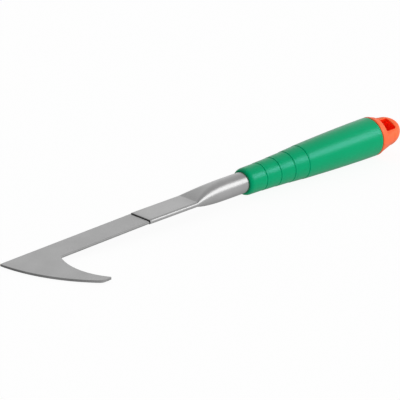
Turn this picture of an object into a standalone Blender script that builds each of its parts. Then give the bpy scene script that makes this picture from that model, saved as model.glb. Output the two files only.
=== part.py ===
"""Hand patio knife: a hooked steel blade clamped in a flattened steel tube, with a moulded grip and end cap.

The pieces are modelled about the tool's own axis.  X runs along that axis towards the end cap, with X = 0 at
the mouth of the grip, and the blade lies in the XY plane with its hook towards -Y.  A parent empty then lays
the tool down on the ground plane, resting on the grip, the blade's tip and the hook, with the origin under
the middle of the tool.  Units are metres, +Z is up.
"""

import math

import bmesh
import bpy
from mathutils import Matrix, Vector

MM = 0.001

# Fits
TOUCH_GAP = 0.3 * MM            # between round or end faces that touch on the real tool
SHEET_GAP = 0.15 * MM           # between the tang's faces and the flattened tube

# Steel tube (shank)
TUBE_RADIUS = 8.0 * MM
TUBE_WALL = 0.8 * MM
TUBE_EXPOSED_ROUND = 19.6 * MM  # round stretch that shows in front of the grip
TRANSITION_LENGTH = 34.0 * MM   # from full round to flat
TRANSITION_POWER = 2.2          # how quickly the flat swells back to round
TRANSITION_STEPS = 9
FLAT_LENGTH = 46.0 * MM
FLAT_EDGE_UPSET = 0.9 * MM      # what the press squeezes off each edge of the flat
FLAT_LIFT = 0.35 * MM           # height of the flat's mid plane above the tube's axis, at the crease
FLAT_DROOP = math.radians(0.3)  # how far the flat dips from there towards its mouth
TUBE_END_GAP = 2.7 * MM         # from the tube's rear end to the grip's counterbore
TUBE_SIDE_STEPS = 15            # points on each side of a tube section

# Blade
BLADE_THICKNESS = 1.8 * MM
STRIP_WIDTH = 21.2 * MM
BLADE_REACH = 118.9 * MM        # from the tube's mouth to the tip
BLADE_DROOP = math.radians(1.4)
TANG_LENGTH = 40.0 * MM
TANG_SIDE_GAP = 0.2 * MM
SHOULDER_STEP = 1.6 * MM        # least that the strip stands out beyond its tang on each side
HOOK_REACH = 61.6 * MM          # from the tool's axis to the hook's blunt end
OUTER_ARC_RADIUS = 124.3 * MM
OUTER_ARC_RISE = 8.8 * MM       # the outer arc's centre stands this far outside the strip's far edge
INNER_ARC_RADIUS = 52.8 * MM
HOOK_NECK = 30.6 * MM           # from the tip to the inner arc's deepest point, along the axis
INNER_ARC_OFFSET = 34.3 * MM    # from the axis to the inner arc's centre, sideways
OUTER_ARC_STEPS = 18
INNER_ARC_STEPS = 12
CORNER_STEPS = 4
TIP_ROUND = 0.6 * MM
HOOK_CORNER_ROUND = 1.6 * MM    # inside corner between strip and hook
HOOK_HEEL_ROUND = 5.0 * MM      # outer corner of the hook's blunt end
HOOK_TOE_ROUND = 1.0 * MM       # inner corner of the hook's blunt end
SHOULDER_ROUND = 0.8 * MM
BLADE_ARRIS = 0.35 * MM         # broken edges all round the blade

# Grip
GRIP_LENGTH = 135.6 * MM
LIP_LENGTH = 4.0 * MM
LIP_STEPS = 5
LIP_FACE = 0.5 * MM             # width of the flat ring between the bore and the rounded lip
GROOVE_FIRST = 16.0 * MM
GROOVE_PITCH = 13.95 * MM
GROOVE_WIDTH = 1.4 * MM
GROOVE_FLOOR_WIDTH = 0.6 * MM
GROOVE_DEPTH = 0.55 * MM
BAND_WALLS = (                  # front and rear wall over the bore of each band ahead of a groove
    (2.0 * MM, 2.15 * MM),
    (2.6 * MM, 2.75 * MM),
    (3.2 * MM, 3.5 * MM),
    (4.0 * MM, 4.5 * MM),
)
BODY_FRONT_WALL = 4.95 * MM     # over the bore, just behind the last groove
BODY_REAR_RADIUS = 15.2 * MM
BODY_SWELL_POWER = 1.6
BODY_STEPS = 9
GRIP_EDGE_ROUND = 1.0 * MM
GRIP_EDGE_STEPS = 3
GRIP_SEGMENTS = 40

# End cap
REAR_WALL = 3.2 * MM            # of the grip, round the counterbore that takes the cap's plug
CAVITY_DEPTH = 22.0 * MM
PLUG_LENGTH = 17.0 * MM
PLUG_WALL = 2.2 * MM
BEAD_HEIGHT = 0.5 * MM          # snap bead round the plug
BEAD_WIDTH = 2.4 * MM
BEAD_FROM_END = 5.0 * MM
FLANGE_LENGTH = 2.4 * MM
FLANGE_EDGE_ROUND = 0.8 * MM
FLANGE_EDGE_END = math.radians(36.0)  # the flange's rounded rear edge stops here and runs into the cone
FLANGE_EDGE_STEPS = 2
NECK_RADIUS = 11.6 * MM         # where the cap's cone meets its dome
DOME_LENGTH = 14.0 * MM
CAP_LENGTH = 29.7 * MM          # from the grip's end to the tip of the dome
DOME_STEPS = 8
TAB_THICKNESS = 15.6 * MM       # between the two flats that the hanging hole passes through
TAB_FROM_FLANGE = 3.6 * MM      # from the flange's rear to the flats
TAB_BASE_ROUND = 2.0 * MM
TAB_BASE_STEPS = 3
CAP_ROLL = math.radians(27.0)   # how far the cap is turned about the tool's axis
HOLE_WIDTH = 11.8 * MM
HOLE_LENGTH = 10.5 * MM
HOLE_END_WALL = 8.4 * MM        # from the hole to the tip of the dome
HOLE_FRONT_ROUND = 0.6 * MM     # corners towards the flange
HOLE_FRONT_STEPS = 2
HOLE_REAR_ROUND = 2.8 * MM      # corners towards the dome
HOLE_REAR_STEPS = 5
PLUG_FLOOR = 2.5 * MM           # solid left between the plug's hollow and the hanging hole
CAP_SEGMENTS = 40

# Modelling
SMOOTH_ANGLE = math.radians(32.0)  # edges sharper than this stay crisp
SAME_PLACE = 0.01 * MM             # points closer than this are the same corner
CUT_OVERRUN = 5.0 * MM             # how far a cutter stands out of what it cuts

# Worked out from the sizes above
TUBE_MOUTH_X = -(TUBE_EXPOSED_ROUND + TRANSITION_LENGTH + FLAT_LENGTH)
CREASE_X = TUBE_MOUTH_X + FLAT_LENGTH
FLAT_HALF_HEIGHT = BLADE_THICKNESS / 2 + SHEET_GAP + TUBE_WALL
FLAT_STRAIGHT_HALF = (TUBE_RADIUS - FLAT_HALF_HEIGHT) * math.pi / 2 - FLAT_EDGE_UPSET
TIP_X = TUBE_MOUTH_X - BLADE_REACH
BEND_X = TUBE_MOUTH_X - TOUCH_GAP - SHOULDER_ROUND - BLADE_ARRIS
BORE_RADIUS = TUBE_RADIUS + TOUCH_GAP
TANG_HALF = min(FLAT_STRAIGHT_HALF - TANG_SIDE_GAP, STRIP_WIDTH / 2 - SHOULDER_STEP)
CAVITY_START_X = GRIP_LENGTH - CAVITY_DEPTH
CAVITY_RADIUS = BODY_REAR_RADIUS - REAR_WALL
TUBE_END_X = CAVITY_START_X - TUBE_END_GAP
CAP_START_X = GRIP_LENGTH + TOUCH_GAP
FLANGE_END_X = CAP_START_X + FLANGE_LENGTH
CAP_TIP_X = GRIP_LENGTH + CAP_LENGTH
FLAT_START_X = FLANGE_END_X + TAB_FROM_FLANGE
HOLE_START_X = CAP_TIP_X - HOLE_END_WALL - HOLE_LENGTH
CUT_WIDTH = 2 * (BODY_REAR_RADIUS + CUT_OVERRUN)

# Materials: name, colour, roughness, metallic
STEEL = ("steel", (0.40, 0.40, 0.41), 0.38, 1.0)
ZINC_STEEL = ("plated_steel", (0.47, 0.47, 0.48), 0.32, 1.0)
GREEN_PLASTIC = ("green_plastic", (0.004, 0.34, 0.14), 0.42, 0.0)
ORANGE_PLASTIC = ("orange_plastic", (0.95, 0.20, 0.09), 0.45, 0.0)


def clear_scene():
    for item in list(bpy.data.objects):
        bpy.data.objects.remove(item, do_unlink=True)


def make_material(spec):
    name, colour, roughness, metallic = spec
    material = bpy.data.materials.new(name)
    material.use_nodes = True
    shader = material.node_tree.nodes["Principled BSDF"]
    shader.inputs["Base Color"].default_value = (*colour, 1.0)
    shader.inputs["Roughness"].default_value = roughness
    shader.inputs["Metallic"].default_value = metallic
    return material


def make_object(name, mesh_data, material_spec, parent):
    mesh = bpy.data.meshes.new(name)
    bmesh.ops.recalc_face_normals(mesh_data, faces=mesh_data.faces)
    mesh_data.to_mesh(mesh)
    mesh_data.free()
    mesh.materials.append(make_material(material_spec))
    mesh.shade_smooth()
    mesh.set_sharp_from_angle(angle=SMOOTH_ANGLE)
    item = bpy.data.objects.new(name, mesh)
    bpy.context.collection.objects.link(item)
    item.parent = parent
    return item


def lathe(profile, segments, closed):
    """Turn a profile of (x, radius) points about the X axis."""
    turned = bmesh.new()
    points = [turned.verts.new((x, 0.0, radius)) for x, radius in profile]
    edges = [turned.edges.new(pair) for pair in zip(points, points[1:])]
    if closed:
        edges.append(turned.edges.new((points[-1], points[0])))
    bmesh.ops.spin(
        turned,
        geom=points + edges,
        cent=(0.0, 0.0, 0.0),
        axis=(1.0, 0.0, 0.0),
        angle=2 * math.pi,
        steps=segments,
        use_merge=True,
    )
    bmesh.ops.remove_doubles(turned, verts=turned.verts, dist=SAME_PLACE)
    return turned


def arc(centre, radius, start, end, steps):
    """Points on an arc, both ends included; angles in radians."""
    points = []
    for step in range(steps + 1):
        angle = start + (end - start) * step / steps
        points.append((centre[0] + radius * math.cos(angle), centre[1] + radius * math.sin(angle)))
    return points


def ellipse_quarter(centre, half_x, half_r, start, end, steps):
    points = []
    for step in range(steps + 1):
        angle = start + (end - start) * step / steps
        points.append((centre[0] + half_x * math.cos(angle), centre[1] + half_r * math.sin(angle)))
    return points


def extrude_outline(outline, thickness):
    """A plate with the given (x, y) outline, its mid plane at Z = 0."""
    plate = bmesh.new()
    corners = [plate.verts.new((x, y, -thickness / 2)) for x, y in outline]
    base = plate.faces.new(corners)
    grown = bmesh.ops.extrude_face_region(plate, geom=[base])
    raised = [part for part in grown["geom"] if isinstance(part, bmesh.types.BMVert)]
    bmesh.ops.translate(plate, verts=raised, vec=(0.0, 0.0, thickness))
    return plate


def round_corner(plate, corner, radius, steps):
    """Round the upright edge of a plate that stands at the given (x, y) corner."""
    upright = []
    for edge in plate.edges:
        first, second = (vert.co for vert in edge.verts)
        stands = (first.xy - second.xy).length < SAME_PLACE
        if stands and (first.xy - Vector(corner)).length < SAME_PLACE:
            upright.append(edge)
    bmesh.ops.bevel(plate, geom=upright, offset=radius, segments=steps, profile=0.5, affect="EDGES")


def flat_height(x):
    """Height of the flattened stretch's mid plane; it is a straight line in x."""
    return FLAT_LIFT - (CREASE_X - x) * math.tan(FLAT_DROOP)


def blade_height(x):
    """Height of the blade's mid plane: in line with the flat as far as the bend, drooping beyond it."""
    if x > BEND_X:
        return flat_height(x)
    return flat_height(BEND_X) - (BEND_X - x) * math.tan(BLADE_DROOP)


def blade_outline():
    """The blade's outline and its named corners, tang included."""
    half = STRIP_WIDTH / 2
    shoulder_x = TUBE_MOUTH_X - TOUCH_GAP
    tang_end_x = TUBE_MOUTH_X + TANG_LENGTH

    outer_y = half + OUTER_ARC_RISE
    outer_x = TIP_X + math.sqrt(OUTER_ARC_RADIUS**2 - OUTER_ARC_RISE**2)
    outer_start = math.pi + math.asin(OUTER_ARC_RISE / OUTER_ARC_RADIUS)
    outer_end = math.pi + math.asin((HOOK_REACH + outer_y) / OUTER_ARC_RADIUS)
    outer = arc((outer_x, outer_y), OUTER_ARC_RADIUS, outer_start, outer_end, OUTER_ARC_STEPS)

    inner_x = TIP_X + HOOK_NECK + INNER_ARC_RADIUS
    inner_y = -INNER_ARC_OFFSET
    inner_start = math.pi + math.asin((HOOK_REACH + inner_y) / INNER_ARC_RADIUS)
    inner_end = math.pi - math.asin((-half - inner_y) / INNER_ARC_RADIUS)
    inner = arc((inner_x, inner_y), INNER_ARC_RADIUS, inner_start, inner_end, INNER_ARC_STEPS)

    tang = [
        (shoulder_x, -half),
        (shoulder_x, -TANG_HALF),
        (tang_end_x, -TANG_HALF),
        (tang_end_x, TANG_HALF),
        (shoulder_x, TANG_HALF),
        (shoulder_x, half),
    ]
    corners = {
        "tip": (outer[0], TIP_ROUND),
        "heel": (outer[-1], HOOK_HEEL_ROUND),
        "toe": (inner[0], HOOK_TOE_ROUND),
        "inside": (inner[-1], HOOK_CORNER_ROUND),
        "near_shoulder": (tang[0], SHOULDER_ROUND),
        "far_shoulder": (tang[-1], SHOULDER_ROUND),
    }
    return outer + inner + tang, corners


def break_edges(plate, width):
    """Chamfer the long edges between a plate's two faces and its rim."""
    rim = []
    for edge in plate.edges:
        flats = [face for face in edge.link_faces if abs(face.normal.z) > 0.9]
        if len(flats) == 1:
            rim.append(edge)
    bmesh.ops.bevel(plate, geom=rim, offset=width, segments=1, profile=0.5, affect="EDGES")


def make_blade(parent):
    outline, corners = blade_outline()
    plate = extrude_outline(outline, BLADE_THICKNESS)
    for corner, radius in corners.values():
        round_corner(plate, corner, radius, CORNER_STEPS)
    plate.normal_update()
    break_edges(plate, BLADE_ARRIS)

    bmesh.ops.bisect_plane(
        plate,
        geom=plate.verts[:] + plate.edges[:] + plate.faces[:],
        plane_co=(BEND_X, 0.0, 0.0),
        plane_no=(1.0, 0.0, 0.0),
    )
    for vert in plate.verts:
        vert.co.z += blade_height(vert.co.x)
    bmesh.ops.triangulate(plate, faces=plate.faces)
    return make_object("blade", plate, STEEL, parent)


def tube_section(roundness, inset, height):
    """(y, z) points of a tube section: flat at roundness 0, circular at 1, inset from the outside."""
    half_height = FLAT_HALF_HEIGHT + (TUBE_RADIUS - FLAT_HALF_HEIGHT) * roundness
    straight_half = FLAT_STRAIGHT_HALF * (1.0 - roundness)
    bow = half_height - inset
    first = math.pi / 2 - roundness * math.pi / (TUBE_SIDE_STEPS + 1)
    side = []
    for step in range(TUBE_SIDE_STEPS):
        angle = first - 2 * first * step / (TUBE_SIDE_STEPS - 1)
        side.append((straight_half + bow * math.cos(angle), height + bow * math.sin(angle)))
    far_side = [(-y, z) for y, z in reversed(side)]
    return [(0.0, height + bow)] + side + [(0.0, height - bow)] + far_side


def tube_stations():
    """(x, roundness, height) of every section along the tube, mouth first."""
    stations = [(TUBE_MOUTH_X, 0.0, flat_height(TUBE_MOUTH_X)), (CREASE_X, 0.0, FLAT_LIFT)]
    for step in range(1, TRANSITION_STEPS + 1):
        along = step / TRANSITION_STEPS
        roundness = 1.0 - (1.0 - along) ** TRANSITION_POWER
        stations.append((CREASE_X + TRANSITION_LENGTH * along, roundness, FLAT_LIFT * (1.0 - roundness)))
    stations.append((TUBE_END_X, 1.0, 0.0))
    return stations


def join_rings(mesh_data, first, second):
    """Quads between two rings of points in the same order."""
    around = list(range(len(first)))
    for here, there in zip(around, around[1:] + around[:1]):
        mesh_data.faces.new((first[here], first[there], second[there], second[here]))


def tube_rings(tube, inset):
    """The section rings of one wall of the tube, mouth first."""
    rings = []
    for x, roundness, height in tube_stations():
        section = tube_section(roundness, inset, height)
        rings.append([tube.verts.new((x, y, z)) for y, z in section])
    return rings


def make_shank_tube(parent):
    tube = bmesh.new()
    outside = tube_rings(tube, 0.0)
    inside = tube_rings(tube, TUBE_WALL)
    loop = outside + list(reversed(inside))
    for ring, following in zip(loop, loop[1:] + loop[:1]):
        join_rings(tube, ring, following)
    bmesh.ops.triangulate(tube, faces=tube.faces)
    return make_object("shank_tube", tube, ZINC_STEEL, parent)


def grip_outer_profile():
    """The grip's outside, from the mouth to the rear: lip, banded nose, then the swelling body."""
    lip_rise = BAND_WALLS[0][0] - LIP_FACE
    lip_centre = (LIP_LENGTH, BORE_RADIUS + LIP_FACE)
    profile = ellipse_quarter(lip_centre, LIP_LENGTH, lip_rise, math.pi, math.pi / 2, LIP_STEPS)
    front_walls = [front for front, rear in BAND_WALLS[1:]] + [BODY_FRONT_WALL]
    for number, ((front, rear), next_front) in enumerate(zip(BAND_WALLS, front_walls)):
        groove_x = GROOVE_FIRST + number * GROOVE_PITCH
        floor_radius = BORE_RADIUS + rear - GROOVE_DEPTH
        profile += [
            (groove_x - GROOVE_WIDTH / 2, BORE_RADIUS + rear),
            (groove_x - GROOVE_FLOOR_WIDTH / 2, floor_radius),
            (groove_x + GROOVE_FLOOR_WIDTH / 2, floor_radius),
            (groove_x + GROOVE_WIDTH / 2, BORE_RADIUS + next_front),
        ]
    body_x, body_radius = profile[-1]
    body_end = GRIP_LENGTH - GRIP_EDGE_ROUND
    for step in range(1, BODY_STEPS + 1):
        along = step / BODY_STEPS
        swell = 1.0 - (1.0 - along) ** BODY_SWELL_POWER
        radius = body_radius + (BODY_REAR_RADIUS - body_radius) * swell
        profile.append((body_x + (body_end - body_x) * along, radius))
    edge = GRIP_EDGE_ROUND
    edge_centre = (body_end, BODY_REAR_RADIUS - edge)
    profile += ellipse_quarter(edge_centre, edge, edge, math.pi / 2, 0.0, GRIP_EDGE_STEPS)[1:]
    return profile


def bead_profile(base_radius, spread):
    """A snap bead on the plug, or the groove that takes it when it is spread by a clearance."""
    middle = CAP_START_X - PLUG_LENGTH + BEAD_FROM_END
    half = BEAD_WIDTH / 2 + spread
    return [
        (middle - half, base_radius),
        (middle, base_radius + BEAD_HEIGHT),
        (middle + half, base_radius),
    ]


def make_grip(parent):
    inner = [(GRIP_LENGTH, CAVITY_RADIUS)]
    inner += reversed(bead_profile(CAVITY_RADIUS, TOUCH_GAP))
    inner += [(CAVITY_START_X, CAVITY_RADIUS), (CAVITY_START_X, BORE_RADIUS), (0.0, BORE_RADIUS)]
    grip = lathe(grip_outer_profile() + inner, GRIP_SEGMENTS, closed=True)
    return make_object("grip", grip, GREEN_PLASTIC, parent)


def cap_profile():
    """The cap before its tab is cut: hollow plug, flange, cone and dome, starting inside on the axis."""
    plug_radius = CAVITY_RADIUS - TOUCH_GAP
    hollow_radius = plug_radius - PLUG_WALL
    hollow_end = HOLE_START_X - PLUG_FLOOR
    plug_start = CAP_START_X - PLUG_LENGTH
    flange_radius = BODY_REAR_RADIUS
    edge = FLANGE_EDGE_ROUND
    neck_x = CAP_TIP_X - DOME_LENGTH
    profile = [(hollow_end, 0.0), (hollow_end, hollow_radius), (plug_start, hollow_radius)]
    profile.append((plug_start, plug_radius))
    profile += bead_profile(plug_radius, 0.0)
    profile.append((CAP_START_X, plug_radius))
    profile.append((CAP_START_X, flange_radius - edge / 2))
    profile.append((CAP_START_X + edge / 2, flange_radius))
    edge_centre = (FLANGE_END_X - edge, flange_radius - edge)
    profile += ellipse_quarter(edge_centre, edge, edge, math.pi / 2, FLANGE_EDGE_END, FLANGE_EDGE_STEPS)
    profile += ellipse_quarter((neck_x, 0.0), DOME_LENGTH, NECK_RADIUS, math.pi / 2, 0.0, DOME_STEPS)
    profile[-1] = (CAP_TIP_X, 0.0)
    return profile


def make_cutter(name, mesh_data, parent):
    mesh = bpy.data.meshes.new(name)
    bmesh.ops.recalc_face_normals(mesh_data, faces=mesh_data.faces)
    mesh_data.to_mesh(mesh)
    mesh_data.free()
    item = bpy.data.objects.new(name, mesh)
    bpy.context.collection.objects.link(item)
    item.parent = parent
    item.hide_render = True
    item.display_type = "WIRE"
    return item


def flat_cutter(side):
    """A block that mills one flat of the tab; side is +1 or -1."""
    block = bmesh.new()
    bmesh.ops.create_cube(block, size=1.0)
    length = CAP_TIP_X - FLAT_START_X + CUT_OVERRUN
    depth = BODY_REAR_RADIUS - TAB_THICKNESS / 2 + CUT_OVERRUN
    bmesh.ops.scale(block, vec=(length, CUT_WIDTH, depth), verts=block.verts)
    middle_z = side * (TAB_THICKNESS / 2 + depth / 2)
    bmesh.ops.translate(block, vec=(FLAT_START_X + length / 2, 0.0, middle_z), verts=block.verts)
    inside = []
    for edge in block.edges:
        middle = (edge.verts[0].co + edge.verts[1].co) / 2
        at_start = abs(middle.x - FLAT_START_X) < SAME_PLACE
        at_flat = abs(abs(middle.z) - TAB_THICKNESS / 2) < SAME_PLACE
        if at_start and at_flat:
            inside.append(edge)
    bmesh.ops.bevel(
        block,
        geom=inside,
        offset=TAB_BASE_ROUND,
        segments=TAB_BASE_STEPS,
        profile=0.5,
        affect="EDGES",
    )
    return block


def hole_cutter():
    """A D-shaped prism for the hanging hole: square towards the flange, round towards the dome."""
    half = HOLE_WIDTH / 2
    end_x = HOLE_START_X + HOLE_LENGTH
    outline = [(HOLE_START_X, half), (HOLE_START_X, -half), (end_x, -half), (end_x, half)]
    prism = extrude_outline(outline, CUT_WIDTH)
    for corner in outline[:2]:
        round_corner(prism, corner, HOLE_FRONT_ROUND, HOLE_FRONT_STEPS)
    for corner in outline[2:]:
        round_corner(prism, corner, HOLE_REAR_ROUND, HOLE_REAR_STEPS)
    return prism


def make_end_cap(parent):
    roll = bpy.data.objects.new("cap_roll", None)
    bpy.context.collection.objects.link(roll)
    roll.parent = parent
    roll.rotation_euler = (CAP_ROLL, 0.0, 0.0)
    cap = make_object("end_cap", lathe(cap_profile(), CAP_SEGMENTS, closed=False), ORANGE_PLASTIC, roll)
    cutters = [
        make_cutter("upper_flat_cutter", flat_cutter(1), roll),
        make_cutter("lower_flat_cutter", flat_cutter(-1), roll),
        make_cutter("hole_cutter", hole_cutter(), roll),
    ]
    for cutter in cutters:
        cut = cap.modifiers.new(cutter.name, "BOOLEAN")
        cut.operation = "DIFFERENCE"
        cut.solver = "EXACT"
        cut.object = cutter
    return cap


def resting_rotation():
    """The turn that lays the tool on the ground: grip, blade tip and hook end in one level plane."""
    grip_point = Vector((GRIP_LENGTH - GRIP_EDGE_ROUND, 0.0, -BODY_REAR_RADIUS))
    tip_point = Vector((TIP_X, STRIP_WIDTH / 2, 0.0))
    hook_point = Vector((TIP_X + HOOK_NECK, -HOOK_REACH, 0.0))
    for point in (tip_point, hook_point):
        point.z = blade_height(point.x) - BLADE_THICKNESS / 2
    level = (tip_point - grip_point).cross(hook_point - grip_point).normalized()
    if level.z < 0.0:
        level.negate()
    return level.rotation_difference(Vector((0.0, 0.0, 1.0))).to_matrix().to_4x4()


def lay_down(tool, pieces):
    """Rest the tool on Z = 0 with the origin under the middle of its bounding box."""
    tool.matrix_world = resting_rotation()
    bpy.context.view_layer.update()
    scene_state = bpy.context.evaluated_depsgraph_get()
    low = Vector((math.inf,) * 3)
    high = -low
    for piece in pieces:
        solid = piece.evaluated_get(scene_state)
        for vert in solid.data.vertices:
            place = solid.matrix_world @ vert.co
            low = Vector(map(min, low, place))
            high = Vector(map(max, high, place))
    shift = Vector((-(low.x + high.x) / 2, -(low.y + high.y) / 2, -low.z))
    tool.matrix_world = Matrix.Translation(shift) @ tool.matrix_world


def main():
    clear_scene()
    tool = bpy.data.objects.new("tool_axis", None)
    bpy.context.collection.objects.link(tool)
    pieces = [make_blade(tool), make_shank_tube(tool), make_grip(tool), make_end_cap(tool)]
    lay_down(tool, pieces)
    bpy.context.view_layer.update()


main()
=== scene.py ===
"""Looks of the hand patio knife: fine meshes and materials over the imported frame, floor, lights and camera.

Every piece is modelled in the tool's own axes, as the CAD is: X runs along the grip towards the end cap with
X = 0 at the grip's mouth, and the blade lies in the XY plane with its hook towards -Y.  tool_matrix() finds
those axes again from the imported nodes.  Lengths are in metres.
"""

import math

import bmesh
import bpy
import numpy as np
from mathutils import Matrix, Vector, noise


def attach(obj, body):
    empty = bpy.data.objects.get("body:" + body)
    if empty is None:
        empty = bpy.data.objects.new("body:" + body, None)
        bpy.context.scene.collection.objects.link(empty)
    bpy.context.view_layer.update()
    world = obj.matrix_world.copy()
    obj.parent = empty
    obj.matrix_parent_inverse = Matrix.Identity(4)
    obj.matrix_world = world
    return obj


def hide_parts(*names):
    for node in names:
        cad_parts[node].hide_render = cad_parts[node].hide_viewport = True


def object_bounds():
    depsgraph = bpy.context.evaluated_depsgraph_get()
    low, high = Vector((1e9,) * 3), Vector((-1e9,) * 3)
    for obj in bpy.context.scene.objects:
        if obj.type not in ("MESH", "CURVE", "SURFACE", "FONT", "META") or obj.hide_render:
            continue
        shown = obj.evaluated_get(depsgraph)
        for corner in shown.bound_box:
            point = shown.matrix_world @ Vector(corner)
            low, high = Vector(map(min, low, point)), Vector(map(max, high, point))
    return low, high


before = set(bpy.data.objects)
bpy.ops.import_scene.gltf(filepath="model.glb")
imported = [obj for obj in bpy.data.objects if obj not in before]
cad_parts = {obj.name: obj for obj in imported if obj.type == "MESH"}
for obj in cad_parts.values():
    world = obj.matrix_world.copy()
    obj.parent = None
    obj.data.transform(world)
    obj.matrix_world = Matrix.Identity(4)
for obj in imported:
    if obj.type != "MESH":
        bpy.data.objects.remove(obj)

CAD_BOX = [list(corner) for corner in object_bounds()]
MM = 0.001

# Fits, as in the CAD
TOUCH_GAP = 0.3 * MM
SHEET_GAP = 0.15 * MM

# Steel tube, as in the CAD
TUBE_RADIUS = 8.0 * MM
TUBE_WALL = 0.8 * MM
TUBE_EXPOSED_ROUND = 19.6 * MM
TRANSITION_LENGTH = 34.0 * MM
TRANSITION_POWER = 2.2
FLAT_LENGTH = 46.0 * MM
FLAT_EDGE_UPSET = 0.9 * MM
FLAT_LIFT = 0.35 * MM
FLAT_DROOP = math.radians(0.3)
TUBE_END_GAP = 2.7 * MM

# Blade, as in the CAD
BLADE_THICKNESS = 1.8 * MM
STRIP_WIDTH = 21.2 * MM
BLADE_REACH = 118.9 * MM
BLADE_DROOP = math.radians(1.4)
TANG_LENGTH = 40.0 * MM
TANG_SIDE_GAP = 0.2 * MM
HOOK_REACH = 61.6 * MM
OUTER_ARC_RADIUS = 124.3 * MM
OUTER_ARC_RISE = 8.8 * MM
INNER_ARC_RADIUS = 52.8 * MM
HOOK_NECK = 30.6 * MM
INNER_ARC_OFFSET = 34.3 * MM
TIP_ROUND = 0.6 * MM
HOOK_CORNER_ROUND = 1.6 * MM
HOOK_HEEL_ROUND = 5.0 * MM
HOOK_TOE_ROUND = 1.0 * MM
SHOULDER_ROUND = 0.8 * MM
CAD_ARRIS = 0.35 * MM

# Grip, as in the CAD
LIP_LENGTH = 4.0 * MM
LIP_FACE = 0.5 * MM
GROOVE_FIRST = 16.0 * MM
GROOVE_PITCH = 13.95 * MM
GROOVE_WIDTH = 1.4 * MM
BAND_WALLS = (
    (2.0 * MM, 2.15 * MM),
    (2.6 * MM, 2.75 * MM),
    (3.2 * MM, 3.5 * MM),
    (4.0 * MM, 4.5 * MM),
)
BODY_FRONT_WALL = 4.95 * MM
BODY_REAR_RADIUS = 15.2 * MM
BODY_SWELL_POWER = 1.6

# End cap, as in the CAD
REAR_WALL = 3.2 * MM
CAVITY_DEPTH = 22.0 * MM
PLUG_LENGTH = 17.0 * MM
PLUG_WALL = 2.2 * MM
BEAD_HEIGHT = 0.5 * MM
BEAD_WIDTH = 2.4 * MM
BEAD_FROM_END = 5.0 * MM
FLANGE_LENGTH = 2.4 * MM
FLANGE_EDGE_ROUND = 0.8 * MM
NECK_RADIUS = 11.6 * MM
DOME_LENGTH = 14.0 * MM
CAP_LENGTH = 29.7 * MM
TAB_THICKNESS = 15.6 * MM
TAB_FROM_FLANGE = 3.6 * MM
TAB_BASE_ROUND = 2.0 * MM
CAP_ROLL = math.radians(27.0)
HOLE_WIDTH = 11.8 * MM
HOLE_LENGTH = 10.5 * MM
HOLE_END_WALL = 8.4 * MM
HOLE_FRONT_ROUND = 0.6 * MM
HOLE_REAR_ROUND = 2.8 * MM
PLUG_FLOOR = 2.5 * MM

# Finding the tool in the frame
STEEP = 0.95                    # a face is part of the blade's flat when its normal rises above this
PLACE_DIGITS = 7                # vertices that agree to this many decimals of a metre are one place


def node_points(name):
    """The distinct vertex places of a CAD node."""
    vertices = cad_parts[name].data.vertices
    places = {tuple(round(value, PLACE_DIGITS) for value in vert.co) for vert in vertices}
    return np.array(sorted(places))


def tool_matrix():
    """The tool's own axes in the frame, and the grip's length.

    The grip is turned, so its points' long principal axis is the tool's axis.  The blade's flat faces, which
    tilt only along that axis, give the sideways direction.
    """
    points = node_points("grip")
    centre = points.mean(axis=0)
    spread, directions = np.linalg.eigh(np.cov((points - centre).T))
    axis = directions[:, np.argmax(spread)]
    axis = axis * np.sign(axis[0])
    reach = (points - centre) @ axis
    along = Vector(axis)
    blade_normal = Vector((0.0, 0.0, 0.0))
    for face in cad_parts["blade"].data.polygons:
        if face.normal.z > STEEP:
            blade_normal += face.normal * face.area
    sideways = blade_normal.cross(along).normalized()
    matrix = Matrix((along, sideways, along.cross(sideways))).transposed().to_4x4()
    matrix.translation = Vector(centre + axis * reach.min())
    return matrix, float(reach.max() - reach.min())


TOOL, GRIP_LENGTH = tool_matrix()


# ---------------------------------------------------------------- derived places, as in the CAD

TUBE_MOUTH_X = -(TUBE_EXPOSED_ROUND + TRANSITION_LENGTH + FLAT_LENGTH)
CREASE_X = TUBE_MOUTH_X + FLAT_LENGTH
FLAT_HALF_HEIGHT = BLADE_THICKNESS / 2 + SHEET_GAP + TUBE_WALL
FLAT_STRAIGHT_HALF = (TUBE_RADIUS - FLAT_HALF_HEIGHT) * math.pi / 2 - FLAT_EDGE_UPSET
TANG_HALF = FLAT_STRAIGHT_HALF - TANG_SIDE_GAP
TIP_X = TUBE_MOUTH_X - BLADE_REACH
BEND_X = TUBE_MOUTH_X - TOUCH_GAP - SHOULDER_ROUND - CAD_ARRIS
BORE_RADIUS = TUBE_RADIUS + TOUCH_GAP
CAVITY_START_X = GRIP_LENGTH - CAVITY_DEPTH
CAVITY_RADIUS = BODY_REAR_RADIUS - REAR_WALL
TUBE_END_X = CAVITY_START_X - TUBE_END_GAP
CAP_START_X = GRIP_LENGTH + TOUCH_GAP
FLANGE_END_X = CAP_START_X + FLANGE_LENGTH
CAP_TIP_X = GRIP_LENGTH + CAP_LENGTH
NECK_X = CAP_TIP_X - DOME_LENGTH
FLAT_START_X = FLANGE_END_X + TAB_FROM_FLANGE
HOLE_START_X = CAP_TIP_X - HOLE_END_WALL - HOLE_LENGTH


# ---------------------------------------------------------------- mesh helpers

def arc(centre, radius, start, end, steps):
    """Points on an arc, both ends included; angles in radians."""
    points = []
    for step in range(steps + 1):
        angle = start + (end - start) * step / steps
        points.append((centre[0] + radius * math.cos(angle), centre[1] + radius * math.sin(angle)))
    return points


def join_rings(data, first, second):
    """Quads between two closed rings of points in the same order."""
    for here in range(len(first)):
        there = (here + 1) % len(first)
        data.faces.new((first[here], first[there], second[there], second[here]))


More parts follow.
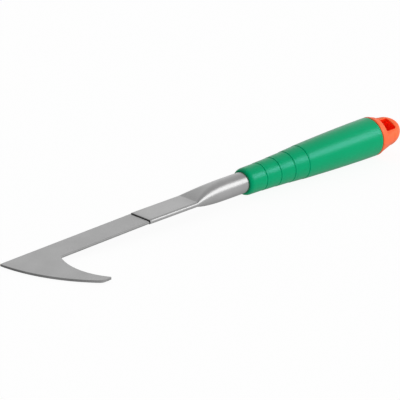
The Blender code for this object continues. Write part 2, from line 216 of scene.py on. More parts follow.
def place(name, data, materials, sharp_angle):
    """Turn mesh data in the tool's axes into a shown piece of the tool."""
    bmesh.ops.recalc_face_normals(data, faces=data.faces)
    mesh = bpy.data.meshes.new(name)
    data.to_mesh(mesh)
    data.free()
    mesh.transform(TOOL)
    mesh.shade_smooth()
    mesh.set_sharp_from_angle(angle=sharp_angle)
    for material in materials:
        mesh.materials.append(material)
    item = bpy.data.objects.new(name, mesh)
    bpy.context.collection.objects.link(item)
    return item


def stand_for(item, node):
    """The piece hangs under the root body and replaces its CAD node, which is hidden."""
    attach(item, "root")
    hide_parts(node)


# ---------------------------------------------------------------- blade

ROLLED_ROUND = 0.75 * MM        # edges of the strip as it came from the rolls
SHEARED_ROUND = 0.25 * MM       # edges of the hook and tip, which were sheared
ROLLED_BAND = 0.3 * MM          # how near the strip's own edge counts as rolled
RIM_STEPS = 5
SHOULDER_GAP = 0.9 * MM         # between the strip's shoulders and the tube's mouth
PAINTED_SHADE_LENGTH = 1.0 * MM         # painted shade: a dark line on the strip where it enters the tube
RIM_BLENDS = 4
OUTER_ARC_STEPS = 72
INNER_ARC_STEPS = 56
RIM_STEP = 1.3 * MM             # length of the rim's straight segments
RIM_UNEVEN = 0.04 * MM          # how far the sheared rim wanders
RIM_WAVES = 650.0               # of that wandering, per metre
CORNER_STEPS = 6
SHARP = math.radians(30.0)      # edges sharper than this stay crisp
CUT_FACE = 0.3                  # faces this upright were sheared or sawn
FLAT_FACE_WEIGHT = 100          # large faces rule the shading at the plate's rounded edges


def flat_height(x):
    """Height of the flattened stretch's mid plane; it is a straight line in x."""
    return FLAT_LIFT - (CREASE_X - x) * math.tan(FLAT_DROOP)


def blade_height(x):
    """Height of the blade's mid plane: in line with the flat as far as the bend, drooping beyond it."""
    if x > BEND_X:
        return flat_height(x)
    return flat_height(BEND_X) - (BEND_X - x) * math.tan(BLADE_DROOP)


def walk(points, index, distance, step):
    """The place a given distance along a closed outline from one of its corners, and the corners passed."""
    here = Vector(points[index])
    passed = []
    while True:
        index = (index + step) % len(points)
        following = Vector(points[index])
        length = (following - here).length
        if length > distance:
            return here.lerp(following, distance / length), passed
        distance -= length
        here = following
        passed.append(index)


def rounded(points, rounds):
    """A closed outline with the corners in rounds, index to radius, eased into curves."""
    curves = {}
    dropped = set()
    for index, radius in rounds.items():
        corner = Vector(points[index])
        before = Vector(points[index - 1]) - corner
        after = Vector(points[(index + 1) % len(points)]) - corner
        reach = radius / math.tan(before.angle(after) / 2)
        start, passed_back = walk(points, index, reach, -1)
        end, passed_on = walk(points, index, reach, 1)
        dropped.update(passed_back + passed_on)
        curve = []
        for step in range(CORNER_STEPS + 1):
            share = step / CORNER_STEPS
            curve.append(start.lerp(corner, share).lerp(corner.lerp(end, share), share))
        curves[index] = curve
    outline = []
    for index, point in enumerate(points):
        if index in curves:
            outline += curves[index]
        elif index not in dropped:
            outline.append(Vector(point))
    return outline


def subdivided(outline, longest):
    """A closed outline with its long straight segments cut into short ones."""
    cut = []
    for here, there in zip(outline, outline[1:] + outline[:1]):
        pieces = max(1, math.ceil((there - here).length / longest))
        cut += [here.lerp(there, piece / pieces) for piece in range(pieces)]
    return cut


def uneven(outline, depth, waves):
    """A closed outline that wanders sideways a little, as a sheared edge does."""
    moved = []
    for before, here, after in zip(outline[-1:] + outline[:-1], outline, outline[1:] + outline[:1]):
        forward = (after - before).normalized()
        shift = noise.noise(Vector((here.x, here.y, 0.0)) * waves) * depth
        moved.append(here + Vector((-forward.y, forward.x)) * shift)
    return moved


def blade_outline():
    """The blade's outline with its corners rounded, tang included."""
    half = STRIP_WIDTH / 2
    shoulder_x = TUBE_MOUTH_X - SHOULDER_GAP
    tang_end_x = TUBE_MOUTH_X + TANG_LENGTH

    outer_y = half + OUTER_ARC_RISE
    outer_x = TIP_X + math.sqrt(OUTER_ARC_RADIUS**2 - OUTER_ARC_RISE**2)
    outer_start = math.pi + math.asin(OUTER_ARC_RISE / OUTER_ARC_RADIUS)
    outer_end = math.pi + math.asin((HOOK_REACH + outer_y) / OUTER_ARC_RADIUS)
    outer = arc((outer_x, outer_y), OUTER_ARC_RADIUS, outer_start, outer_end, OUTER_ARC_STEPS)

    inner_x = TIP_X + HOOK_NECK + INNER_ARC_RADIUS
    inner_y = -INNER_ARC_OFFSET
    inner_start = math.pi + math.asin((HOOK_REACH + inner_y) / INNER_ARC_RADIUS)
    inner_end = math.pi - math.asin((-half - inner_y) / INNER_ARC_RADIUS)
    inner = arc((inner_x, inner_y), INNER_ARC_RADIUS, inner_start, inner_end, INNER_ARC_STEPS)

    tang = [
        (shoulder_x, -half),
        (shoulder_x, -TANG_HALF),
        (tang_end_x, -TANG_HALF),
        (tang_end_x, TANG_HALF),
        (shoulder_x, TANG_HALF),
        (shoulder_x, half),
    ]
    points = outer + inner + tang
    heel = len(outer) - 1
    inside = len(outer) + len(inner) - 1
    rounds = {
        0: TIP_ROUND,
        heel: HOOK_HEEL_ROUND,
        heel + 1: HOOK_TOE_ROUND,
        inside: HOOK_CORNER_ROUND,
        inside + 1: SHOULDER_ROUND,
        len(points) - 1: SHOULDER_ROUND,
    }
    return rounded(points, rounds)


def rim_rounds(outline):
    """Radius of the rim's rounding at each outline point: rolled along the strip, small where sheared."""
    notch_x = TIP_X + HOOK_NECK
    rounds = []
    for point in outline:
        on_strip = abs(abs(point.y) - STRIP_WIDTH / 2) < ROLLED_BAND
        rolled = on_strip and (point.y > 0.0 or point.x > notch_x)
        rounds.append(ROLLED_ROUND if rolled else SHEARED_ROUND)
    for _ in range(RIM_BLENDS):
        neighbours = zip(rounds[-1:] + rounds[:-1], rounds, rounds[1:] + rounds[:1])
        rounds = [(before + here + after) / 3 for before, here, after in neighbours]
    return rounds


def make_blade(material, cut_material, painted_shade_material):
    """The hooked plate with rounded rims, bent where the strip leaves the tube."""
    outline = uneven(subdivided(blade_outline(), RIM_STEP), RIM_UNEVEN, RIM_WAVES)
    area = sum(here.cross(there) for here, there in zip(outline, outline[1:] + outline[:1]))
    inward = math.copysign(1.0, area)
    rounds = rim_rounds(outline)
    plate = bmesh.new()
    rings = []
    for side in (-1.0, 1.0):
        for step in range(RIM_STEPS + 1):
            angle = math.pi / 2 * (step if side > 0 else RIM_STEPS - step) / RIM_STEPS
            ring = []
            neighbours = zip(outline[-1:] + outline[:-1], outline, outline[1:] + outline[:1], rounds)
            for before, here, after, radius in neighbours:
                forward = (after - before).normalized()
                depth = radius * (1.0 - math.cos(angle))
                place_in = here + Vector((-forward.y, forward.x)) * depth * inward
                height = side * (BLADE_THICKNESS / 2 - radius * (1.0 - math.sin(angle)))
                ring.append(plate.verts.new((place_in.x, place_in.y, height)))
            rings.append(ring)
    for ring, following in zip(rings, rings[1:]):
        join_rings(plate, ring, following)
    plate.faces.new(rings[-1])
    plate.faces.new(list(reversed(rings[0])))
    bmesh.ops.recalc_face_normals(plate, faces=plate.faces)
    # painted shade: the strip's last stretch before the tube's mouth is cut off here so that it can take a
    # near-black steel
    painted_shade_x = TUBE_MOUTH_X - PAINTED_SHADE_LENGTH
    for cut_x in (BEND_X, painted_shade_x):
        bmesh.ops.bisect_plane(
            plate,
            geom=plate.verts[:] + plate.edges[:] + plate.faces[:],
            plane_co=(cut_x, 0.0, 0.0),
            plane_no=(1.0, 0.0, 0.0),
        )
    for vert in plate.verts:
        vert.co.z += blade_height(vert.co.x)
    bmesh.ops.triangulate(plate, faces=[face for face in plate.faces if len(face.verts) > 4])
    for face in plate.faces:
        face.material_index = int(abs(face.normal.z) < CUT_FACE)
        # painted shade: faces of that last stretch take the near-black steel
        if face.calc_center_median().x > painted_shade_x:
            face.material_index = 2
    blade = place("hooked_blade", plate, [material, cut_material, painted_shade_material], SHARP)
    flat_shading = blade.modifiers.new("flat_faces", "WEIGHTED_NORMAL")
    flat_shading.keep_sharp = True
    flat_shading.weight = FLAT_FACE_WEIGHT
    stand_for(blade, "blade")
    return blade


# ---------------------------------------------------------------- shank tube

HALF_SECTION_STEPS = 72         # points on each half of a tube section
FLAT_STATIONS = 12
CREASE_SOFT = 0.35 * MM         # how softly the press's crease breaks
CREASE_REACH = 1.2 * MM         # stretch with closely spaced sections each side of the crease
CREASE_STATIONS = 10
TRANSITION_STATIONS = 60
ROUND_STATIONS = 24
MOUTH_ROUND = 0.15 * MM         # the tube's cut end, outside
MOUTH_STEPS = 4


def half_section(straight_half, bow):
    """(y, z) points from the top middle round the +Y side to the bottom middle, evenly spaced."""
    side = math.pi * bow
    whole = 2 * straight_half + side
    points = []
    for step in range(HALF_SECTION_STEPS + 1):
        along = whole * step / HALF_SECTION_STEPS
        if along < straight_half:
            points.append((along, bow))
        elif along < straight_half + side:
            angle = math.pi / 2 - (along - straight_half) / bow
            points.append((straight_half + bow * math.cos(angle), bow * math.sin(angle)))
        else:
            points.append((whole - along, -bow))
    return points


def tube_shape(x):
    """Roundness and mid height of the tube at a place along it: flat at roundness 0, circular at 1."""
    past_crease = x - CREASE_X
    softened = (math.hypot(past_crease, CREASE_SOFT) + past_crease) / 2
    along = min(softened / TRANSITION_LENGTH, 1.0)
    roundness = 1.0 - (1.0 - along) ** TRANSITION_POWER
    flat_share = 1.0 - roundness
    return roundness, flat_height(min(x, CREASE_X)) * flat_share


def tube_ring(tube, x, inset):
    """One closed section of the tube, a given inset inside its outer surface."""
    roundness, height = tube_shape(x)
    half_height = FLAT_HALF_HEIGHT + (TUBE_RADIUS - FLAT_HALF_HEIGHT) * roundness
    straight_half = FLAT_STRAIGHT_HALF * (1.0 - roundness)
    right = half_section(straight_half, half_height - inset)
    left = [(-y, z) for y, z in reversed(right[1:-1])]
    return [tube.verts.new((x, y, z + height)) for y, z in right + left]


def tube_places():
    """Places of the sections along the tube, from the rounded mouth to the end inside the grip."""
    places = list(np.linspace(TUBE_MOUTH_X + MOUTH_ROUND, CREASE_X - CREASE_REACH, FLAT_STATIONS))
    places += list(np.linspace(CREASE_X - CREASE_REACH, CREASE_X + CREASE_REACH, 2 * CREASE_STATIONS))[1:]
    round_x = CREASE_X + TRANSITION_LENGTH
    places += list(np.linspace(CREASE_X + CREASE_REACH, round_x, TRANSITION_STATIONS))[1:]
    places += list(np.linspace(round_x, TUBE_END_X, ROUND_STATIONS))[1:]
    return places


def make_tube(material, painted_shade_material):
    """The tube with its wall, its flattened front and its rounded mouth."""
    tube = bmesh.new()
    places = tube_places()
    rings = []
    for step in range(MOUTH_STEPS):
        angle = math.pi / 2 * step / MOUTH_STEPS
        x = TUBE_MOUTH_X + MOUTH_ROUND * (1.0 - math.sin(angle))
        rings.insert(0, tube_ring(tube, x, MOUTH_ROUND * (1.0 - math.cos(angle))))
    rings.insert(0, tube_ring(tube, TUBE_MOUTH_X, MOUTH_ROUND))
    rings += [tube_ring(tube, x, 0.0) for x in places[1:]]
    rings += [tube_ring(tube, x, TUBE_WALL) for x in reversed(places)]
    rings.append(tube_ring(tube, TUBE_MOUTH_X, TUBE_WALL))
    for ring, following in zip(rings, rings[1:] + rings[:1]):
        join_rings(tube, ring, following)
    tube.normal_update()
    # painted shade: the cut end face at the mouth takes the near-black steel
    for face in tube.faces:
        at_mouth = face.calc_center_median().x < TUBE_MOUTH_X + MOUTH_ROUND
        face.material_index = int(at_mouth and face.normal.x < -CUT_FACE)
    item = place("shank", tube, [material, painted_shade_material], SHARP)
    stand_for(item, "shank_tube")
    return item


# ---------------------------------------------------------------- grip

GRIP_SEGMENTS = 128
LIP_STEPS = 20
GROOVE_STEPS = 12
BAND_STEPS = 16
BODY_STEPS = 60
REAR_EDGE_STEPS = 8
MOUTH_BREAK = 0.08 * MM         # broken inner edge of the grip's mouth
MOUTH_CLEARANCE = 0.05 * MM     # between the grip's mouth and the tube
MOUTH_RADIUS = TUBE_RADIUS + MOUTH_CLEARANCE
GROOVE_SHOWN_DEPTH = 0.40 * MM  # shallower than in the CAD
GROOVE_FULLNESS = 1.2           # above 1 the groove is narrow at its floor
BAND_EDGE_SHARE = 0.3           # front share of a band that curves down into the groove ahead
BAND_EDGE_DROP = 0.22 * MM
REAR_EDGE_ROUND = 1.2 * MM
JOINT_GAP = 0.12 * MM           # between the grip's end and the cap's flange
FLANGE_FRONT_ROUND = 0.4 * MM


def turned(name, profile, materials, segments, sharp):
    """A closed ring-shaped piece turned about the tool's axis from (x, radius) points."""
    data = bmesh.new()
    rings = []
    for x, radius in profile:
        ring = []
        for step in range(segments):
            angle = 2 * math.pi * step / segments
            ring.append(data.verts.new((x, radius * math.cos(angle), radius * math.sin(angle))))
        rings.append(ring)
    for ring, following in zip(rings, rings[1:] + rings[:1]):
        join_rings(data, ring, following)
    return place(name, data, materials, sharp)


def groove_points(middle, front_radius, rear_radius, depth):
    """A rounded groove between two bands of slightly different radius."""
    points = []
    for step in range(GROOVE_STEPS + 1):
        share = step / GROOVE_STEPS
        x = middle + GROOVE_WIDTH * (share - 0.5)
        base = front_radius + (rear_radius - front_radius) * share
        dip = depth * (0.5 - 0.5 * math.cos(2 * math.pi * share)) ** GROOVE_FULLNESS
        points.append((x, base - dip))
    return points


def grip_profile():
    """(x, radius) points of the grip's outside, from its mouth over the grooves to its rear edge."""
    first_wall = BAND_WALLS[0][0]
    lip_rise = first_wall - LIP_FACE
    profile = [(MOUTH_BREAK, MOUTH_RADIUS), (0.0, MOUTH_RADIUS + MOUTH_BREAK)]
    for step in range(LIP_STEPS + 1):
        angle = math.pi - math.pi / 2 * step / LIP_STEPS
        x = LIP_LENGTH * (1.0 + math.cos(angle))
        profile.append((x, BORE_RADIUS + LIP_FACE + lip_rise * math.sin(angle)))
    front_walls = [front for front, rear in BAND_WALLS[1:]] + [BODY_FRONT_WALL]
    for number, ((front, rear), next_front) in enumerate(zip(BAND_WALLS, front_walls)):
        middle = GROOVE_FIRST + number * GROOVE_PITCH
        start_x, start_radius = profile[-1]
        end_x = middle - GROOVE_WIDTH / 2
        for step in range(1, BAND_STEPS):
            share = step / BAND_STEPS
            x = start_x + (end_x - start_x) * share
            drop = BAND_EDGE_DROP * max(1.0 - share / BAND_EDGE_SHARE, 0.0) ** 2 * min(number, 1)
            profile.append((x, start_radius + (BORE_RADIUS + rear - start_radius) * share - drop))
        next_radius = BORE_RADIUS + next_front - BAND_EDGE_DROP
        profile += groove_points(middle, BORE_RADIUS + rear, next_radius, GROOVE_SHOWN_DEPTH)
    body_x, body_radius = profile[-1]
    body_end = GRIP_LENGTH - REAR_EDGE_ROUND
    for step in range(1, BODY_STEPS + 1):
        along = step / BODY_STEPS
        swell = 1.0 - (1.0 - along) ** BODY_SWELL_POWER
        x = body_x + (body_end - body_x) * along
        profile.append((x, body_radius + (BODY_REAR_RADIUS - body_radius) * swell))
    for step in range(1, REAR_EDGE_STEPS + 1):
        angle = math.pi / 2 * (1.0 - step / REAR_EDGE_STEPS)
        x = body_end + REAR_EDGE_ROUND * math.cos(angle)
        profile.append((x, BODY_REAR_RADIUS - REAR_EDGE_ROUND * (1.0 - math.sin(angle))))
    return profile


def bead_points(base_radius, spread):
    """A snap bead on the plug, or the groove that takes it when it is spread by a clearance."""
    middle = CAP_START_X - PLUG_LENGTH + BEAD_FROM_END
    half = BEAD_WIDTH / 2 + spread
    return [(middle - half, base_radius), (middle, base_radius + BEAD_HEIGHT), (middle + half, base_radius)]


def make_grip(material):
    """The grip: its outside, and the cavity behind that takes the cap's plug."""
    inner = [(GRIP_LENGTH, CAVITY_RADIUS)]
    inner += reversed(bead_points(CAVITY_RADIUS, TOUCH_GAP))
    inner += [(CAVITY_START_X, CAVITY_RADIUS), (CAVITY_START_X, MOUTH_RADIUS)]
    grip = turned("moulded_grip", grip_profile() + inner, [material], GRIP_SEGMENTS, SHARP)
    stand_for(grip, "grip")
    return grip


# ---------------------------------------------------------------- end cap

CAP_SEGMENTS = 160
TAB_BLEND = 12                  # sharpness of the edge between the cap's flats and its round sides
NO_FLAT = 1.6                   # a flat this many radii out doesn't cut the round
FLANGE_EDGE_END = math.radians(36.0)
FLANGE_EDGE_STEPS = 8
CONE_STEPS = 10
SHOULDER_EDGE = 0.6 * MM        # rounded edge where the flange's back drops to the flats
SHOULDER_STEPS = 6
FLAT_STEPS = 30
DOME_STEPS = 40
HOLE_EDGE = 0.45 * MM           # rounded edge of the hanging hole's mouth
HOLE_EDGE_STEPS = 5
HOLE_CORNER_STEPS = 10
HOLE_RISE = 14.0 * MM           # how far the hole's cutter stands out from the cap's axis
SAME_PLACE = 0.01 * MM          # slack in telling the hole's walls from the rest of the cap
LEAST_SINE = 0.001              # keeps the reach of a flat finite where it runs along the section


def outer_radius(x):
    """The cap's outside before its flats are cut: flange, rounded edge, cone and dome."""
    edge = FLANGE_EDGE_ROUND
    edge_x = FLANGE_END_X - edge
    cone_x = edge_x + edge * math.cos(FLANGE_EDGE_END)
    cone_radius = BODY_REAR_RADIUS - edge * (1.0 - math.sin(FLANGE_EDGE_END))
    if x <= edge_x:
        return BODY_REAR_RADIUS
    if x <= cone_x:
        return BODY_REAR_RADIUS - edge + math.sqrt(max(edge**2 - (x - edge_x) ** 2, 0.0))
    if x <= NECK_X:
        return cone_radius + (NECK_RADIUS - cone_radius) * (x - cone_x) / (NECK_X - cone_x)
    share = min((x - NECK_X) / DOME_LENGTH, 1.0)
    return NECK_RADIUS * math.sqrt(1.0 - share**2)


def cut_radius(radius, flat, angle):
    """Radius of a round section with two opposite flats, their edges eased."""
    towards_flat = max(abs(math.sin(angle)), LEAST_SINE)
    reach = flat / towards_flat
    return (radius**-TAB_BLEND + reach**-TAB_BLEND) ** (-1.0 / TAB_BLEND)


def flat_for(radius, wanted):
    """The flat that brings a round section down to the wanted radius in its middle."""
    rest = wanted**-TAB_BLEND - radius**-TAB_BLEND
    if rest <= (NO_FLAT * radius) ** -TAB_BLEND:
        return NO_FLAT * radius
    return rest ** (-1.0 / TAB_BLEND)


def cap_sections():
    """(x, radius, flat) of each section of the cap's outside, flange first."""
    flat_half = TAB_THICKNESS / 2
    edge_x = FLANGE_END_X - FLANGE_EDGE_ROUND
    sections = []
    for x in np.linspace(edge_x, FLANGE_END_X, FLANGE_EDGE_STEPS):
        sections.append((x, outer_radius(x), NO_FLAT * outer_radius(x)))
    for x in np.linspace(FLANGE_END_X, FLAT_START_X - SHOULDER_EDGE, CONE_STEPS)[1:-1]:
        sections.append((x, outer_radius(x), NO_FLAT * outer_radius(x)))
    for step in range(SHOULDER_STEPS + 1):
        angle = math.pi / 2 * step / SHOULDER_STEPS
        x = FLAT_START_X - SHOULDER_EDGE * (1.0 - math.sin(angle))
        radius = outer_radius(x)
        sections.append((x, radius, flat_for(radius, radius - SHOULDER_EDGE * (1.0 - math.cos(angle)))))
    radius = outer_radius(FLAT_START_X)
    for wanted in np.linspace(radius - SHOULDER_EDGE, flat_half + TAB_BASE_ROUND, SHOULDER_STEPS)[1:]:
        sections.append((FLAT_START_X, radius, flat_for(radius, wanted)))
    for step in range(1, SHOULDER_STEPS + 1):
        angle = math.pi / 2 * step / SHOULDER_STEPS
        x = FLAT_START_X + TAB_BASE_ROUND * (1.0 - math.cos(angle))
        wanted = flat_half + TAB_BASE_ROUND * (1.0 - math.sin(angle))
        sections.append((x, outer_radius(x), flat_for(outer_radius(x), wanted)))
    for x in np.linspace(FLAT_START_X + TAB_BASE_ROUND, NECK_X, FLAT_STEPS)[1:]:
        sections.append((x, outer_radius(x), flat_half))
    for step in range(1, DOME_STEPS):
        x = NECK_X + DOME_LENGTH * math.sin(math.pi / 2 * step / DOME_STEPS)
        sections.append((x, outer_radius(x), flat_half))
    return sections


def plug_sections():
    """(x, radius, flat) of the round sections from the plug's hollow out to the flange's rim."""
    plug_radius = CAVITY_RADIUS - TOUCH_GAP
    hollow_radius = plug_radius - PLUG_WALL
    plug_start = CAP_START_X - PLUG_LENGTH
    edge = FLANGE_FRONT_ROUND
    floor_x = HOLE_START_X - PLUG_FLOOR
    profile = [(floor_x, hollow_radius), (plug_start, hollow_radius), (plug_start, plug_radius)]
    profile += bead_points(plug_radius, 0.0)
    front_x = GRIP_LENGTH + JOINT_GAP
    profile += [(front_x, plug_radius), (front_x, BODY_REAR_RADIUS - edge)]
    for step in range(1, SHOULDER_STEPS + 1):
        angle = math.pi / 2 * step / SHOULDER_STEPS
        x = front_x + edge * (1.0 - math.cos(angle))
        profile.append((x, BODY_REAR_RADIUS - edge * (1.0 - math.sin(angle))))
    return [(x, radius, NO_FLAT * radius) for x, radius in profile]


def hole_outline(spread):
    """The hanging hole's outline grown by a spread: square towards the flange, round towards the dome."""
    half = HOLE_WIDTH / 2
    outline = []
    corners = (
        (HOLE_START_X, -half, HOLE_FRONT_ROUND, math.pi),
        (HOLE_START_X + HOLE_LENGTH, -half, HOLE_REAR_ROUND, 1.5 * math.pi),
        (HOLE_START_X + HOLE_LENGTH, half, HOLE_REAR_ROUND, 0.0),
        (HOLE_START_X, half, HOLE_FRONT_ROUND, 0.5 * math.pi),
    )
    for x, y, radius, start in corners:
        centre_x = x + math.copysign(radius, HOLE_START_X + HOLE_LENGTH / 2 - x)
        centre = (centre_x, y - math.copysign(radius, y))
        outline += arc(centre, radius + spread, start, start + math.pi / 2, HOLE_CORNER_STEPS)
    return outline


def hole_cutter():
    """A prism for the hanging hole that flares at both flats, so that the hole's mouths get round edges."""
    flat_half = TAB_THICKNESS / 2
    levels = [(HOLE_RISE, HOLE_EDGE)]
    for step in range(HOLE_EDGE_STEPS + 1):
        angle = math.pi / 2 * step / HOLE_EDGE_STEPS
        spread = HOLE_EDGE * (1.0 - math.sin(angle))
        levels.append((flat_half - HOLE_EDGE * (1.0 - math.cos(angle)), spread))
    levels += [(-level, spread) for level, spread in reversed(levels)]
    data = bmesh.new()
    rings = []
    for level, spread in levels:
        rings.append([data.verts.new((x, y, level)) for x, y in hole_outline(spread)])
    for ring, following in zip(rings, rings[1:]):
        join_rings(data, ring, following)
    data.faces.new(rings[0])
    data.faces.new(list(reversed(rings[-1])))
    bmesh.ops.recalc_face_normals(data, faces=data.faces)
    mesh = bpy.data.meshes.new("hanging_hole")
    data.to_mesh(mesh)
    data.free()
    return mesh


def make_cap(material, hole_painted_shade_material):
    """The cap: plug, flange and tab in one skin, with the hanging hole cut through."""
    data = bmesh.new()
    rings = []
    for x, radius, flat in plug_sections() + cap_sections():
        ring = []
        for step in range(CAP_SEGMENTS):
            angle = 2 * math.pi * step / CAP_SEGMENTS
            reach = cut_radius(radius, flat, angle)
            ring.append(data.verts.new((x, reach * math.cos(angle), reach * math.sin(angle))))
        rings.append(ring)
    for ring, following in zip(rings, rings[1:]):
        join_rings(data, ring, following)
    for ring, x in ((rings[0], HOLE_START_X - PLUG_FLOOR), (rings[-1], CAP_TIP_X)):
        pole = data.verts.new((x, 0.0, 0.0))
        for here, there in zip(ring, ring[1:] + ring[:1]):
            data.faces.new((here, there, pole))
    bmesh.ops.recalc_face_normals(data, faces=data.faces)
    mesh = bpy.data.meshes.new("cap_blank")
    data.to_mesh(mesh)
    data.free()

    blank = bpy.data.objects.new("cap_blank", mesh)
    cutter = bpy.data.objects.new("hanging_hole", hole_cutter())
    for item in (blank, cutter):
        bpy.context.collection.objects.link(item)
    cut = blank.modifiers.new("hanging_hole", "BOOLEAN")
    cut.operation = "DIFFERENCE"
    cut.solver = "EXACT"
    cut.object = cutter
    scene_state = bpy.context.evaluated_depsgraph_get()
    cut_mesh = bpy.data.meshes.new_from_object(blank.evaluated_get(scene_state))
    cap_data = bmesh.new()
    cap_data.from_mesh(cut_mesh)
    for item in (blank, cutter):
        bpy.data.objects.remove(item, do_unlink=True)

    wall_reach = TAB_THICKNESS / 2 - HOLE_EDGE
    for face in cap_data.faces:
        middle = face.calc_center_median()
        across = abs(middle.y) < HOLE_WIDTH / 2 + SAME_PLACE
        along = HOLE_START_X - SAME_PLACE < middle.x < HOLE_START_X + HOLE_LENGTH + SAME_PLACE
        # painted shade: the hanging hole's walls take the deeper red material
        face.material_index = int(across and along and abs(middle.z) < wall_reach)
    cap_data.transform(Matrix.Rotation(CAP_ROLL, 4, "X"))
    cap = place("end_cap_shell", cap_data, [material, hole_painted_shade_material], SHARP)
    stand_for(cap, "end_cap")
    return cap


# ---------------------------------------------------------------- materials

# Steel; waves are per metre
BRUSHING_STRETCH = (0.06, 1.0, 1.0)
BRUSHING_WAVES = 5200.0
BRUSHING_DEPTH = 0.006 * MM
BRUSHING_STRENGTH = 0.5
CLOUD_WAVES = 70.0
SPECKLE_WAVES = 1500.0
SPECKLE_DEPTH = 0.012 * MM
SPECKLE_STRENGTH = 0.4
SPECKLE_SHARE = 0.35
STEEL_PAINTED_HIGHLIGHT = (0.52, 0.62)       # pointiness over which an edge turns to its brighter tone, a painted highlight

# Plastic; waves are per metre
FLOW_STRETCH = (0.35, 1.0, 1.0)
FLOW_WAVES = 90.0
FLOW_SHARE = 0.5
TEXTURE_WAVES = 2300.0
TEXTURE_SHARE = 0.12
TEXTURE_STRENGTH = 0.6
SWELL_WAVES = 240.0
SWELL_DEPTH = 0.05 * MM
SWELL_STRENGTH = 0.35
# pointiness over which an outer edge turns pale, a painted highlight
PLASTIC_PAINTED_HIGHLIGHT = (0.53, 0.6)
# pointiness below which a recess turns deep, painted shade
PLASTIC_PAINTED_SHADE = (0.48, 0.42)

def new_material(name, roughness, metallic):
    """A Principled material, its node tree and its shader."""
    material = bpy.data.materials.new(name)
    material.use_nodes = True
    tree = material.node_tree
    shader = tree.nodes["Principled BSDF"]
    shader.inputs["Metallic"].default_value = metallic
    shader.inputs["Roughness"].default_value = roughness
    return material, tree, shader


def coordinates(tree, stretch=(1.0, 1.0, 1.0)):
    """Places in the tool's frame, in metres, optionally stretched per axis."""
    source = tree.nodes.new("ShaderNodeTexCoord")
    mapping = tree.nodes.new("ShaderNodeMapping")
    mapping.inputs["Scale"].default_value = stretch
    tree.links.new(source.outputs["Object"], mapping.inputs["Vector"])
    return mapping.outputs["Vector"]


def grain(tree, vector, per_metre, detail, roughness=0.5):
    """Noise with a given number of waves per metre."""
    texture = tree.nodes.new("ShaderNodeTexNoise")
    texture.inputs["Scale"].default_value = per_metre
    texture.inputs["Detail"].default_value = detail
    texture.inputs["Roughness"].default_value = roughness
    tree.links.new(vector, texture.inputs["Vector"])
    return texture.outputs["Fac"]


def ranged(tree, value, low, high, from_low=0.3, from_high=0.7):
    """A value brought into a range."""
    node = tree.nodes.new("ShaderNodeMapRange")
    node.inputs["From Min"].default_value = from_low
    node.inputs["From Max"].default_value = from_high
    node.inputs["To Min"].default_value = low
    node.inputs["To Max"].default_value = high
    tree.links.new(value, node.inputs["Value"])
    return node.outputs["Result"]


def blend(tree, share, first, second):
    """Mix of two colours; each is a colour or a socket."""
    node = tree.nodes.new("ShaderNodeMix")
    node.data_type = "RGBA"
    tree.links.new(share, node.inputs["Factor"])
    for source, socket in ((first, node.inputs["A"]), (second, node.inputs["B"])):
        if isinstance(source, tuple):
            socket.default_value = (*source, 1.0)
        else:
            tree.links.new(source, socket)
    return node.outputs["Result"]


def bumped(tree, height, distance, strength, below=None):
    """A bump of a given depth, optionally on top of another."""
    node = tree.nodes.new("ShaderNodeBump")
    node.inputs["Distance"].default_value = distance
    node.inputs["Strength"].default_value = strength
    tree.links.new(height, node.inputs["Height"])
    if below is not None:
        tree.links.new(below, node.inputs["Normal"])
    return node.outputs["Normal"]


def edge_mask_for_painted_light(tree, low, high):
    """How much a place stands out as an outer edge, from 0 to 1; it places painted highlights and painted
    shade.
    """
    geometry = tree.nodes.new("ShaderNodeNewGeometry")
    return ranged(tree, geometry.outputs["Pointiness"], 0.0, 1.0, low, high)


def steel_material(name, greys, roughness_range):
    """Satin sheet steel: fine lengthwise brushing, cloudy finish, brighter at the edges as a painted
    highlight.
    """
    material, tree, shader = new_material(name, roughness_range[0], 1.0)
    dark, light, edge = [(grey, grey, grey) for grey in greys]
    brushing = grain(tree, coordinates(tree, BRUSHING_STRETCH), BRUSHING_WAVES, detail=4.0)
    clouds = grain(tree, coordinates(tree), CLOUD_WAVES, detail=3.0)
    speckle = grain(tree, coordinates(tree), SPECKLE_WAVES, detail=5.0, roughness=0.65)
    tone = blend(tree, ranged(tree, clouds, 0.0, 1.0), dark, light)
    tone = blend(tree, ranged(tree, speckle, 0.0, SPECKLE_SHARE), tone, dark)
    # painted highlight: outer edges turn to the brighter edge grey
    tone = blend(tree, edge_mask_for_painted_light(tree, *STEEL_PAINTED_HIGHLIGHT), tone, edge)
    tree.links.new(tone, shader.inputs["Base Color"])
    tree.links.new(ranged(tree, speckle, *roughness_range), shader.inputs["Roughness"])
    normal = bumped(tree, brushing, BRUSHING_DEPTH, BRUSHING_STRENGTH)
    normal = bumped(tree, speckle, SPECKLE_DEPTH, SPECKLE_STRENGTH, normal)
    tree.links.new(normal, shader.inputs["Normal"])
    return material


